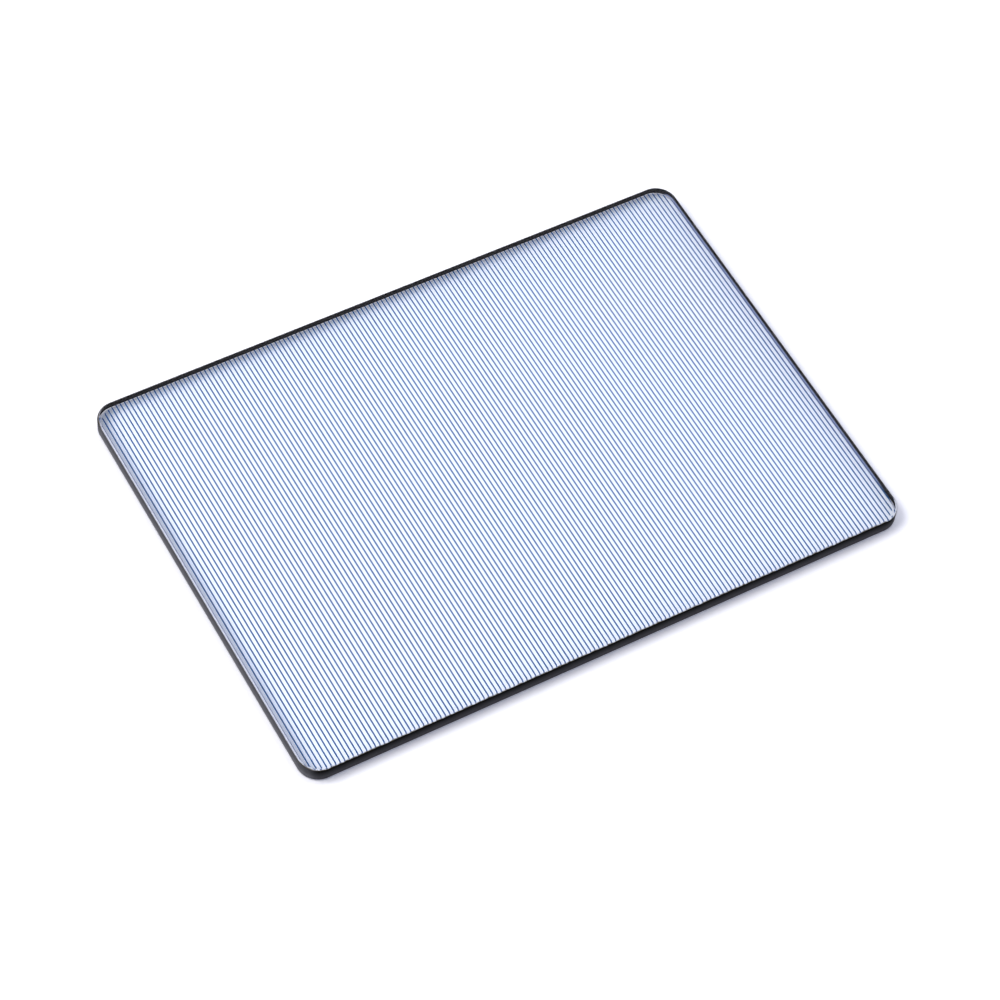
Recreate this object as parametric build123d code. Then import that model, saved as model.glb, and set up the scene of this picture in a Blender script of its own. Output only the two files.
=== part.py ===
from build123d import *
import os

# A camera streak filter: a clear laminated glass plate with fine blue lines ruled across it, which
# draw a point of light out into a long blue streak. It lies flat, and the origin is at the middle of
# its underside: +X along the long side, +Z up through the glass.

# Outside sizes over the edge coating, in millimetres. 5.65 by 4 inches, with 3/16 inch corners.
length = 143.5
width = 101.6
corner_radius = 4.75

# The two plates of the laminate, and the 45 degree bevel ground round each outer rim.
front_thickness = 2.0
rear_thickness = 2.0
edge_bevel = 0.35

# The black coat on the narrow wall between the two bevels.
coating_thickness = 0.1

# The lines run parallel to the short sides and stop short of the edge. The side margin is the least
# clear glass left outside the first and last line, and the end margin is that beyond every line's
# end. The corners of the ruled field are a little rounder than those of the glass.
line_pitch = 1.007
line_width = 0.3
line_depth = 0.1
line_side_margin = 0.5
line_end_margin = 0.6
line_corner_radius = 5.0

# Worked out from the sizes above.
thickness = rear_thickness + front_thickness
glass_length = length - 2 * coating_thickness
glass_width = width - 2 * coating_thickness
glass_radius = corner_radius - coating_thickness
ruled_length = glass_length - 2 * line_side_margin
ruled_width = glass_width - 2 * line_end_margin
line_count = int((ruled_length - line_width) / line_pitch) + 1
bond_plane = rear_thickness


def bevelled_plate(underside, plate_thickness, outer_face):
    """One glass plate, bevelled round its outer face and left sharp where it is bonded."""
    with BuildPart() as plate:
        with BuildSketch(Plane.XY.offset(underside)):
            RectangleRounded(glass_length, glass_width, glass_radius)
        extrude(amount=plate_thickness)
        chamfer(plate.faces().sort_by(Axis.Z)[outer_face].edges(), edge_bevel)
    return plate.part


def ruled_lines():
    """All the lines: flat bars let into the rear plate, whose ends follow the round corners."""
    with BuildPart() as lines:
        with BuildSketch(Plane.XY.offset(bond_plane)):
            with GridLocations(line_pitch, 0, line_count, 1):
                Rectangle(line_width, ruled_width)
            RectangleRounded(ruled_length, ruled_width, line_corner_radius, mode=Mode.INTERSECT)
        extrude(amount=-line_depth)
    return lines.part


def coated_wall():
    """The coat of black paint on the upright wall, which stops short of both bevels."""
    with BuildPart() as coat:
        with BuildSketch(Plane.XY.offset(edge_bevel)):
            RectangleRounded(length, width, corner_radius)
            RectangleRounded(glass_length, glass_width, glass_radius, mode=Mode.SUBTRACT)
        extrude(amount=thickness - 2 * edge_bevel)
    return coat.part


front_glass = bevelled_plate(bond_plane, front_thickness, outer_face=-1)
streak_lines = ruled_lines()

# The lines lie in grooves of their own form, flush with the face that the front plate is bonded to.
rear_glass = bevelled_plate(0, rear_thickness, outer_face=0) - streak_lines

edge_coating = coated_wall()

os.makedirs("parts", exist_ok=True)
export_step(front_glass, "parts/front_glass.step")
export_step(rear_glass, "parts/rear_glass.step")
export_step(streak_lines, "parts/streak_lines.step")
export_step(edge_coating, "parts/edge_coating.step")
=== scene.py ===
import math

import bmesh
import bpy
from mathutils import Matrix, Vector


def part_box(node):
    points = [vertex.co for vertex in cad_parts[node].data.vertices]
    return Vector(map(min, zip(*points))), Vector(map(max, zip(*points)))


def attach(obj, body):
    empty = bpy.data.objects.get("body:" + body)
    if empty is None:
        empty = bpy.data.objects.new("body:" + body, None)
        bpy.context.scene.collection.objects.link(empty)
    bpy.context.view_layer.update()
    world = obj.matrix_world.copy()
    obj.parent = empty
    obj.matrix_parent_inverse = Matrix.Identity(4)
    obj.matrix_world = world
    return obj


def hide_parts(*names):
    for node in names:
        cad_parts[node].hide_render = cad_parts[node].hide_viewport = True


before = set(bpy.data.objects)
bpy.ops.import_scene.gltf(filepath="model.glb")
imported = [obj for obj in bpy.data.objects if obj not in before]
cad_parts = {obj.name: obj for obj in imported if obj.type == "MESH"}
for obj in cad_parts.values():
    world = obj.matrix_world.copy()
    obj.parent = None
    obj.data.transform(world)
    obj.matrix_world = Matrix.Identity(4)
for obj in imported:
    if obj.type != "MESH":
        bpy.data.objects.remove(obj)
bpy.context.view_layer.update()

# Glass plate
# Two sheets of clear glass are bonded face to face, ground to size with round corners and bevelled
# round both rims. The bond can't be seen, so they show as the one clear body that they make.
front_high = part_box("front_glass")[1]
rear_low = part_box("rear_glass")[0]
coat_low, coat_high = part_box("edge_coating")
GLASS_CORNER_RADIUS = 0.00465
CORNER_STEPS = 28
SAME_HEIGHT = 1e-7
rim_bevel = coat_low.z - rear_low.z


def rounded_slab(low, high, radius):
    """A bmesh slab between two corners, with its four upright edges rounded."""
    bm = bmesh.new()
    place = Matrix.Translation((low + high) / 2) @ Matrix.Diagonal((*(high - low), 1))
    bmesh.ops.create_cube(bm, size=1, matrix=place)
    upright = [e for e in bm.edges if abs(e.verts[0].co.z - e.verts[1].co.z) > SAME_HEIGHT]
    bmesh.ops.bevel(
        bm, geom=upright, offset=radius, offset_type="OFFSET", affect="EDGES",
        segments=CORNER_STEPS, profile=0.5, material=-1,
    )
    return bm


def faces_at(bm, height):
    """The level faces of a bmesh at one height."""
    return [f for f in bm.faces if all(abs(v.co.z - height) < SAME_HEIGHT for v in f.verts)]


def finished_piece(bm, name, crease_degrees=30):
    """Turns a bmesh into an object whose normals point outwards, smooth but for its real edges."""
    bmesh.ops.recalc_face_normals(bm, faces=bm.faces)
    for edge in bm.edges:
        edge.smooth = edge.calc_face_angle(0) < math.radians(crease_degrees)
    for face in bm.faces:
        face.smooth = True
    mesh = bpy.data.meshes.new(name)
    bm.to_mesh(mesh)
    bm.free()
    piece = bpy.data.objects.new(name, mesh)
    bpy.context.scene.collection.objects.link(piece)
    return piece


bm = rounded_slab(rear_low, front_high, GLASS_CORNER_RADIUS)
rims = [e for z in (rear_low.z, front_high.z) for f in faces_at(bm, z) for e in f.edges]
bmesh.ops.bevel(
    bm, geom=rims, offset=rim_bevel, offset_type="OFFSET", affect="EDGES",
    segments=1, profile=0.5, material=-1,
)
for face in bm.faces:
    face.normal_update()
    slopes = 0.2 < abs(face.normal.z) < 0.95
    face.material_index = 1 if slopes else 0
glass_plate = finished_piece(bm, "glass_plate")


class Socket:
    """Wraps a shader node's output, so that sums on it read as plain arithmetic."""

    def __init__(self, tree, output):
        self.tree = tree
        self.output = output

    def math(self, operation, *values):
        """One Math node of this output and any further values."""
        inputs = {0: self, **{n + 1: v for n, v in enumerate(values)}}
        return add_node(self.tree, "ShaderNodeMath", {"operation": operation}, inputs)[0]

    def __add__(self, other):
        return self.math("ADD", other)

    def __sub__(self, other):
        return self.math("SUBTRACT", other)

    def __rsub__(self, other):
        return (self * -1).math("ADD", other)

    def __mul__(self, other):
        return self.math("MULTIPLY", other)

    __radd__ = __add__
    __rmul__ = __mul__

    def limited(self):
        """This value kept between 0 and 1."""
        return self.math("MAXIMUM", 0).math("MINIMUM", 1)

    def rise(self, start, end):
        """A soft step from 0 where this value is start to 1 where it is end."""
        settings = {"interpolation_type": "SMOOTHSTEP"}
        return add_node(self.tree, "ShaderNodeMapRange", settings, {0: self, 1: start, 2: end})[0]


def add_node(tree, kind, settings=None, inputs=None):
    """Adds a node, makes its settings, then links or sets its inputs. Gives its outputs, wrapped."""
    node = tree.nodes.new(kind)
    for name, value in (settings or {}).items():
        setattr(node, name, value)
    for name, value in (inputs or {}).items():
        if isinstance(value, Socket):
            tree.links.new(value.output, node.inputs[name])
        else:
            node.inputs[name].default_value = value
    return [Socket(tree, out) for out in node.outputs]


def new_material(name):
    """An empty node material, its tree, and its object coordinates."""
    material = bpy.data.materials.new(name)
    material.use_nodes = True
    tree = material.node_tree
    tree.nodes.clear()
    return material, tree, add_node(tree, "ShaderNodeTexCoord")[3]


def noise(tree, place, grain_size, detail):
    """Soft random cloud from 0 to 1, whose patches are about one grain across."""
    inputs = {"Vector": place, "Scale": 1 / grain_size, "Detail": detail}
    return add_node(tree, "ShaderNodeTexNoise", {}, inputs)[0]


def between(tree, share, start, end):
    """A colour that goes from start to end as share goes from 0 to 1."""
    ends = [c if isinstance(c, Socket) else (*c, 1) for c in (start, end)]
    inputs = {0: share, 6: ends[0], 7: ends[1]}
    return add_node(tree, "ShaderNodeMix", {"data_type": "RGBA"}, inputs)[2]


def clear_to_lamps(tree, glass, loss_tint):
    """The same glass, but lamp light and light that has spread from a surface go straight through."""
    light_path = add_node(tree, "ShaderNodeLightPath")
    straight = (light_path[1] + light_path[2]).limited()
    through = add_node(tree, "ShaderNodeBsdfTransparent", {}, {"Color": (*loss_tint, 1)})[0]
    return add_node(tree, "ShaderNodeMixShader", {}, {0: straight, 1: glass, 2: through})[0]


REFRACTION = 1.52
POLISHED_TINT = (0.965, 0.98, 1.0)
POLISHED_LOSS = (0.985, 0.987, 1.0)
ANTI_GLARE = (0.42, 0.42, 0.5)
material, tree, place = new_material("polished_glass")
cloud = noise(tree, place, grain_size=0.02, detail=3.0)
glass = add_node(
    tree, "ShaderNodeBsdfPrincipled", {},
    {
        "Base Color": (*POLISHED_TINT, 1), "Transmission Weight": 1.0, "IOR": REFRACTION,
        "Roughness": cloud * 0.01, "Specular Tint": (*ANTI_GLARE, 1),
    },
)[0]
surface = clear_to_lamps(tree, glass, POLISHED_LOSS)
add_node(tree, "ShaderNodeOutputMaterial", {}, {"Surface": surface})
glass_plate.data.materials.append(material)

# The bevels are finely ground, and the edge's black ink has crept over the upper one as a thin brown
# film. It is wiped off the left end and one near corner.
GROUND_TINT = (0.97, 0.97, 0.97)
GROUND_LOSS = (0.15, 0.15, 0.17)
GROUND_WHITE = (0.77, 0.78, 0.92)
FROST_SHARE = 0.25
MORE_FROST_LEFT = 0.3
LESS_FROST_RIGHT = 0.2
FILM_THICK = (0.03, 0.025, 0.02)
FILM_THIN = (0.3, 0.27, 0.23)
FILM_STARTS_NEAR = 0.65
FILM_STARTS_LEFT = 0.85
FILM_WIPED_OFF = 1.2
FILM_RAGGEDNESS = 1.1
FILM_EDGE_SHARPNESS = 8
FILM_THICKENING = 1.7
material, tree, place = new_material("inked_bevel")
x, y, z = add_node(tree, "ShaderNodeSeparateXYZ", {}, {0: place})

# How far in from each edge of the glass a point lies.
from_left = x + front_high.x
from_right = front_high.x - x
from_near = y + front_high.y
from_far = front_high.y - y
grain = noise(tree, place, grain_size=0.0002, detail=2.0)
streaks = noise(tree, place, grain_size=0.0009, detail=3.0)
bump = add_node(
    tree, "ShaderNodeBump", {}, {"Height": grain, "Distance": 0.000003, "Strength": 0.6}
)[0]
glass = add_node(
    tree, "ShaderNodeBsdfPrincipled", {},
    {
        "Base Color": (*GROUND_TINT, 1), "Transmission Weight": 1.0, "IOR": REFRACTION,
        "Roughness": grain * 0.08 + 0.04, "Normal": bump,
    },
)[0]
frost = add_node(tree, "ShaderNodeBsdfDiffuse", {}, {"Color": (*GROUND_WHITE, 1)})[0]
upper = z.rise(0.001, 0.003)

# Down the bevel's slope, fall goes from 0 at the flat face to 1 at the wall. Each stretch of the
# film starts at its own share of that, higher up at the left corners, and streaks make it ragged.
fall = (front_high.z - z) * (1 / rim_bevel)
near = from_near.rise(0.0057, 0.0007) * FILM_STARTS_NEAR
left_corners = from_near.rise(0.0062, 0.0027) * 0.35 + from_far.rise(0.0062, 0.0032) * 0.6
left = from_left.rise(0.00315, 0.00115) * (FILM_STARTS_LEFT - left_corners)
near_right = from_right.rise(0.00515, 0.00455) * from_near.rise(0.0045, 0.0035)
film_edge = near.math("MAXIMUM", left).math("MAXIMUM", near_right * FILM_WIPED_OFF)
below_edge = fall - film_edge + (streaks - 0.5) * (FILM_RAGGEDNESS - left)
inked = (below_edge * FILM_EDGE_SHARPNESS + 0.5).limited() * upper
thickness = (below_edge * FILM_THICKENING + 0.1).limited()
film = add_node(
    tree, "ShaderNodeBsdfPrincipled", {},
    {
        "Base Color": between(tree, thickness, FILM_THIN, FILM_THICK),
        "Roughness": streaks * 0.2 + 0.4, "Specular IOR Level": 0.0, "Normal": bump,
    },
)[0]
right = from_right.rise(0.00165, 0.00045)
frosting = (FROST_SHARE + left * MORE_FROST_LEFT - right * LESS_FROST_RIGHT) * upper
ground = add_node(tree, "ShaderNodeMixShader", {}, {0: frosting, 1: glass, 2: frost})[0]
surface = add_node(
    tree, "ShaderNodeMixShader", {},
    {0: inked, 1: clear_to_lamps(tree, ground, GROUND_LOSS), 2: film},
)[0]
add_node(tree, "ShaderNodeOutputMaterial", {}, {"Surface": surface})
glass_plate.data.materials.append(material)
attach(glass_plate, "root")
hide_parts("front_glass", "rear_glass")

# Streak lines
# Fine straight lines of blue, sealed in the bond between the two sheets, which stop just short of
# its edge. Their even rows draw a lamp in the picture out into a streak.
LINE_BLUE = (0.002, 0.08, 0.28)
LINE_BLUE_LIGHT = (0.01, 0.125, 0.38)
LINE_PAINTED_LIGHT = (0.35, 0.4, 0.68)
LINE_GLOW = (0.78, 0.875, 0.97)
OUTER_LINE = (0.00105, 0.00075)
PAINTED_LIGHT_PAST_NEAR = (0.0067, 0.0127)
material, tree, place = new_material("streak_blue")
x, y, _ = add_node(tree, "ShaderNodeSeparateXYZ", {}, {0: place})
from_left = x + front_high.x
from_right = front_high.x - x
from_near = y + front_high.y
drawn_out = add_node(
    tree, "ShaderNodeMapping", {}, {"Vector": place, "Scale": (1.0, 0.06, 1.0)}
)[0]
shade = noise(tree, drawn_out, grain_size=0.001, detail=2.0)

# The outermost two lines are painted paler, a painted light that lifts them out of the edge's shade:
# the left one all along, the right one but for its near end.
last_painted_light = from_right.rise(*OUTER_LINE) * from_near.rise(*PAINTED_LIGHT_PAST_NEAR)
outer_painted_light = (from_left.rise(*OUTER_LINE) + last_painted_light) * 0.5
blue = between(tree, shade, LINE_BLUE, LINE_BLUE_LIGHT)
paint = add_node(
    tree, "ShaderNodeBsdfPrincipled", {},
    {
        "Base Color": between(tree, outer_painted_light, blue, LINE_PAINTED_LIGHT),
        "Roughness": shade * 0.2 + 0.4, "Specular IOR Level": 0.1,
    },
)[0]
surface = clear_to_lamps(tree, paint, LINE_GLOW)
add_node(tree, "ShaderNodeOutputMaterial", {}, {"Surface": surface})
streak_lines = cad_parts["streak_lines"]
streak_lines.data.materials.clear()
streak_lines.data.materials.append(material)

# Edge coating
# A coat of black ink on the narrow ground wall between the two bevels, which keeps stray light from
# entering the edge. Its rims are rounded where the wet ink drew back from the bevels.
COAT_GRIP = 0.00001
SHOULDER_HEIGHT = 0.00015
SHOULDER_STEPS = 3
coat_thickness = coat_high.x - front_high.x
coat_corner_radius = GLASS_CORNER_RADIUS + coat_thickness


def pull_in(vertex, depth):
    """Moves a vertex of the coat's outer wall straight in from the wall."""
    core_x = coat_high.x - coat_corner_radius
    core_y = coat_high.y - coat_corner_radius
    x, y = vertex.co.x, vertex.co.y
    core = Vector((max(-core_x, min(core_x, x)), max(-core_y, min(core_y, y))))
    outward = (Vector((x, y)) - core).normalized()
    moved = core + outward * (coat_corner_radius - depth)
    vertex.co.x, vertex.co.y = moved.x, moved.y


bm = rounded_slab(coat_low, coat_high, coat_corner_radius)
caps = faces_at(bm, coat_low.z) + faces_at(bm, coat_high.z)
bmesh.ops.delete(bm, geom=caps, context="FACES_ONLY")
for step in range(1, SHOULDER_STEPS + 1):
    inset = SHOULDER_HEIGHT * step / SHOULDER_STEPS
    for height in (coat_low.z + inset, coat_high.z - inset):
        everything = bm.verts[:] + bm.edges[:] + bm.faces[:]
        bmesh.ops.bisect_plane(bm, geom=everything, plane_co=(0, 0, height), plane_no=(0, 0, 1))
for vertex in bm.verts:
    from_rim = min(vertex.co.z - coat_low.z, coat_high.z - vertex.co.z)
    share = max(0, 1 - from_rim / SHOULDER_HEIGHT)
    pull_in(vertex, coat_thickness * (1 - math.sqrt(1 - share * share)))
inner_rims = []
for height in (coat_low.z, coat_high.z):
    rim = [e for e in bm.edges if e.is_boundary and abs(e.verts[0].co.z - height) < SAME_HEIGHT]
    made = bmesh.ops.extrude_edge_only(bm, edges=rim)["geom"]
    for vertex in (v for v in made if isinstance(v, bmesh.types.BMVert)):
        pull_in(vertex, coat_thickness + COAT_GRIP)
    inner_rims += [e for e in made if isinstance(e, bmesh.types.BMEdge) and e.is_boundary]
for face in bmesh.ops.bridge_loops(bm, edges=inner_rims)["faces"]:
    face.material_index = 1
edge_paint = finished_piece(bm, "edge_paint", crease_degrees=40)

# The ink is black, painted grey towards the table: painted reflection of the white sheet. The left
# wall is painted lighter grey still, most of all low down: painted light from the left.
INK_BLACK = (0.002, 0.002, 0.0025)
INK_PAINTED_REFLECTION = (0.1, 0.1, 0.11)
INK_PAINTED_LEFT_LIGHT = (0.3, 0.3, 0.33)
PAINTED_REFLECTION_BELOW = 0.0032
PAINTED_REFLECTION_PER_METRE = 360
LEFT_LIGHT_BASE = 0.32
LEFT_LIGHT_MORE_BELOW = 0.28
material, tree, place = new_material("edge_ink")
x, _, z = add_node(tree, "ShaderNodeSeparateXYZ", {}, {0: place})
from_left = x + front_high.x
cloud = noise(tree, place, grain_size=0.0011, detail=4.0)
grit = noise(tree, place, grain_size=0.00011, detail=2.0)
# Painted reflection of the table: the ink turns grey as it nears the table.
painted_reflection = ((PAINTED_REFLECTION_BELOW - z) * PAINTED_REFLECTION_PER_METRE * (cloud * 0.5 + 0.75)).limited()
# Painted light: the left wall is lighter grey, most of all low down, for the light that falls on it
# from the left.
left_light_amount = LEFT_LIGHT_BASE + z.rise(0.0021, 0.0011) * LEFT_LIGHT_MORE_BELOW + (cloud - 0.5) * 0.2
painted_left_light = (from_left.rise(0.00265, 0.00015) * left_light_amount).limited()
shade = between(tree, painted_left_light, between(tree, painted_reflection, INK_BLACK, INK_PAINTED_REFLECTION), INK_PAINTED_LEFT_LIGHT)
bump = add_node(
    tree, "ShaderNodeBump", {}, {"Height": grit, "Distance": 0.000008, "Strength": 0.5}
)[0]
paint = add_node(
    tree, "ShaderNodeBsdfPrincipled", {},
    {
        "Base Color": shade, "Roughness": cloud * 0.16 + 0.42,
        "Specular IOR Level": 0.02, "Normal": bump,
    },
)[0]
add_node(tree, "ShaderNodeOutputMaterial", {}, {"Surface": paint})
edge_paint.data.materials.append(material)

# Its inner side, which shows through the glass, is wetted by the glass and has no shine of its own.
# Low down at the right end it is thin, and a pale violet is painted there for the light that comes
# through: painted light.
INK_INNER = (0.002, 0.002, 0.002)
INK_INNER_WORN = (0.008, 0.008, 0.009)
INK_INNER_PAINTED_LIGHT = (0.42, 0.47, 0.72)
material, tree, place = new_material("edge_ink_under_glass")
x, y, z = add_node(tree, "ShaderNodeSeparateXYZ", {}, {0: place})
from_right = front_high.x - x
from_near = y + front_high.y
cloud = noise(tree, place, grain_size=0.0011, detail=4.0)
low_down = (z + cloud * 0.0003).rise(0.0016, 0.0012)
painted_light_low = from_right.rise(0.00115, 0.00045) * from_near.rise(*PAINTED_LIGHT_PAST_NEAR) * low_down
full = between(tree, cloud, INK_INNER, INK_INNER_WORN)
paint = add_node(
    tree, "ShaderNodeBsdfPrincipled", {},
    {
        "Base Color": between(tree, painted_light_low, full, INK_INNER_PAINTED_LIGHT),
        "Roughness": cloud * 0.1 + 0.8, "Specular IOR Level": 0.0,
    },
)[0]
add_node(tree, "ShaderNodeOutputMaterial", {}, {"Surface": paint})
edge_paint.data.materials.append(material)
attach(edge_paint, "root")
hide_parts("edge_coating")

# Table
# A plain white sheet. Light Path shows it to the eye whiter than it is, which loses its own surface,
# and it still takes the filter's soft shadow.
TABLE_WHITE = (0.9, 0.9, 0.9)
TABLE_SEEN = (1.62, 1.62, 1.66)
TABLE_GAP = 0.00005
TABLE_RADIUS = 3.0
bm = bmesh.new()
bmesh.ops.create_circle(
    bm, cap_ends=True, segments=96, radius=TABLE_RADIUS,
    matrix=Matrix.Translation((0, 0, rear_low.z - TABLE_GAP)),
)
table_top = finished_piece(bm, "table_top")
material, tree, _ = new_material("white_sheet")
light_path = add_node(tree, "ShaderNodeLightPath")
seen = (light_path[0] + light_path[3] + light_path[6]).limited()
plain = add_node(tree, "ShaderNodeBsdfDiffuse", {}, {"Color": (*TABLE_WHITE, 1)})[0]
bright = add_node(tree, "ShaderNodeBsdfDiffuse", {}, {"Color": (*TABLE_SEEN, 1)})[0]
surface = add_node(tree, "ShaderNodeMixShader", {}, {0: seen, 1: plain, 2: bright})[0]
add_node(tree, "ShaderNodeOutputMaterial", {}, {"Surface": surface})
table_top.data.materials.append(material)

# Light
# A broad soft panel overhead, a softbox above and to the left, and a pale room that is darker to
# the left.


def soft_lamp(name, place, wide, high, power, colour):
    """A rectangular area lamp that faces the filter."""
    lamp = bpy.data.lights.new(name, "AREA")
    lamp.shape = "RECTANGLE"
    lamp.size = wide
    lamp.size_y = high
    lamp.energy = power
    lamp.color = colour
    softbox = bpy.data.objects.new(name, lamp)
    softbox.location = place
    softbox.rotation_euler = (-place).to_track_quat("-Z", "Y").to_euler()
    bpy.context.scene.collection.objects.link(softbox)


soft_lamp(
    "ceiling_panel", Vector((0.1, 0.28, 1.2)),
    wide=2.15, high=0.47, power=2.2, colour=(1.0, 0.985, 0.95),
)
soft_lamp(
    "softbox", Vector((-0.84, 0.33, 1.2)),
    wide=0.93, high=0.77, power=9.8, colour=(1.0, 0.98, 0.96),
)

# Like the table, the room shows pure white to the eye.
ROOM_COLOUR = (0.81, 0.84, 1.0)
ROOM_BRIGHTNESS = 0.43
BRIGHTER_RIGHT = 0.26
BRIGHTER_FAR = 0.1
ROOM_DARKEST = 0.05
world = bpy.data.worlds.new("room")
bpy.context.scene.world = world
world.use_nodes = True
tree = world.node_tree
tree.nodes.clear()
direction = add_node(tree, "ShaderNodeTexCoord")[0]
x, y, _ = add_node(tree, "ShaderNodeSeparateXYZ", {}, {0: direction})
brightness = x * BRIGHTER_RIGHT + y * BRIGHTER_FAR + ROOM_BRIGHTNESS
brightness = brightness.math("MAXIMUM", ROOM_DARKEST)
light_path = add_node(tree, "ShaderNodeLightPath")
sees_white = (light_path[0] + light_path[3] + light_path[6]).limited()
room = add_node(
    tree, "ShaderNodeBackground", {}, {"Color": (*ROOM_COLOUR, 1), "Strength": brightness}
)[0]
white = add_node(tree, "ShaderNodeBackground", {}, {"Color": (1, 1, 1, 1), "Strength": 1.0})[0]
surface = add_node(tree, "ShaderNodeMixShader", {}, {0: sees_white, 1: room, 2: white})[0]
add_node(tree, "ShaderNodeOutputWorld", {}, {"Surface": surface})

# Camera
# It looks down on the filter from in front and to the left, a little turned about its own axis.
CAMERA_AZIMUTH = math.radians(-34.56)
CAMERA_ELEVATION = math.radians(55.37)
CAMERA_ROLL = math.radians(6.62)
CAMERA_DISTANCE = 0.7552
CAMERA_TARGET = Vector((-0.00286, -0.00677, 0))
CAMERA_LENS = 127.4
back = Vector((
    math.sin(CAMERA_AZIMUTH) * math.cos(CAMERA_ELEVATION),
    -math.cos(CAMERA_AZIMUTH) * math.cos(CAMERA_ELEVATION),
    math.sin(CAMERA_ELEVATION),
))
camera_data = bpy.data.cameras.new("camera")
camera_data.lens = CAMERA_LENS
camera_data.sensor_width = 36.0
camera_data.clip_start = 0.01
camera_data.clip_end = 20.0
camera = bpy.data.objects.new("camera", camera_data)
level = (-back).to_track_quat("-Z", "Y").to_matrix().to_4x4()
camera.matrix_world = (
    Matrix.Translation(CAMERA_TARGET + back * CAMERA_DISTANCE)
    @ level @ Matrix.Rotation(CAMERA_ROLL, 4, "Z")
)
bpy.context.scene.collection.objects.link(camera)
bpy.context.scene.camera = camera
bpy.context.scene.view_settings.view_transform = "Standard"
